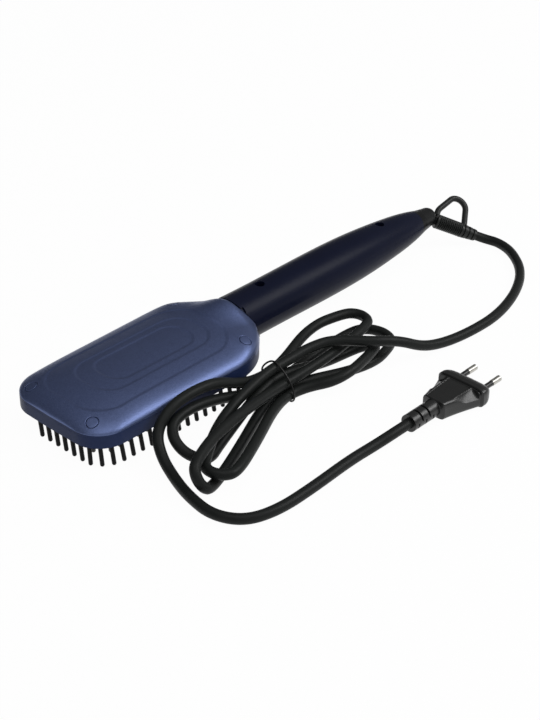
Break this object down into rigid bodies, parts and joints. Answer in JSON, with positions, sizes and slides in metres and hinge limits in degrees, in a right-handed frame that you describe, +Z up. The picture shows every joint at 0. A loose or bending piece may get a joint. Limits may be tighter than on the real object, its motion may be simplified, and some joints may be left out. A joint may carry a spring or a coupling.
{
  "type": "hair straightening brush",
  "caption": "Electric hair straightening brush with a wide heated paddle head, a round handle, a swivel cord with hanging loop, tied in a hank, and a flat two-pin plug",
  "frame": {"origin": "under the middle of the brush's length, on the plane of the bristle tips", "axes": "+X from the head to the handle's end, +Y across, +Z up from the bristle tips to the back"},
  "size_m": [0.3903, 0.2023, 0.04],
  "materials": {
    "metallic_blue": "metallic satin paint",
    "navy": "satin",
    "navy_gloss": "gloss",
    "black_plastic": "satin",
    "black_nylon": "satin",
    "black_rubber": "matte",
    "black_cord": "satin",
    "black_wire": "satin",
    "ceramic_coat": "satin ceramic coat",
    "aluminium": "brushed",
    "steel": "zinc plated",
    "nickel": "nickel plated",
    "amber_film": "film",
    "mica": "matte sheet",
    "glass_bead": "gloss",
    "wire_sleeve": "satin",
    "board_green": "solder mask",
    "clear_lens": "clear"
  },
  "bodies": {
    "brush": {"head_back_cover": "metallic_blue", "cover_screw_plugs": "metallic_blue", "head_screws": "steel", "head_frame": "navy", "bristle_plate": "black_plastic", "outer_bristles": "black_nylon", "heater_plate": "ceramic_coat", "heated_teeth": "ceramic_coat", "tooth_tips": "black_nylon", "ptc_heater": "aluminium", "heater_insulation": "amber_film", "heater_clamp": "steel", "clamp_screws": "steel", "ntc_sensor": "glass_bead", "thermal_fuse": "steel", "heat_shield": "mica", "heater_leads": "wire_sleeve", "handle_rear_shell": "navy", "handle_front_shell": "navy", "handle_screws": "steel", "main_board": "board_green", "board_screws": "steel", "board_parts": "black_plastic", "tact_switches": "black_plastic", "indicator_lens": "clear_lens", "mains_leads": "wire_sleeve", "end_cap": "black_plastic", "ball_retainer": "black_nylon", "cord_lead": "black_cord", "cord_hank": "black_cord", "cord_tail": "black_cord", "cord_tie": "black_wire", "plug_body": "black_rubber", "plug_pins": "nickel", "plug_pin_sleeves": "black_nylon"},
    "power_button": {"power_button": "navy_gloss", "power_plunger": "black_nylon"},
    "temperature_button": {"temperature_button": "navy_gloss", "temperature_plunger": "black_nylon"},
    "cord_swivel": {"swivel_ball": "black_nylon", "strain_relief": "black_rubber", "hanging_loop": "black_rubber"}
  },
  "joints": [
    {"name": "power_button_press", "type": "slide", "parent": "brush", "child": "power_button", "axis": [0, 0, 1], "range_m": [0, 0.0008], "stiffness_N_per_m": 900, "springref_m": -0.0008},
    {"name": "temperature_button_press", "type": "slide", "parent": "brush", "child": "temperature_button", "axis": [0, 0, 1], "range_m": [0, 0.0008], "stiffness_N_per_m": 900, "springref_m": -0.0008},
    {"name": "cord_swivel_turn", "type": "hinge", "parent": "brush", "child": "cord_swivel", "pos_m": [0.1715, 0, 0.023], "axis": [0.69, -0.5998, -0.4051], "range_deg": [-50, 130]}
  ]
}
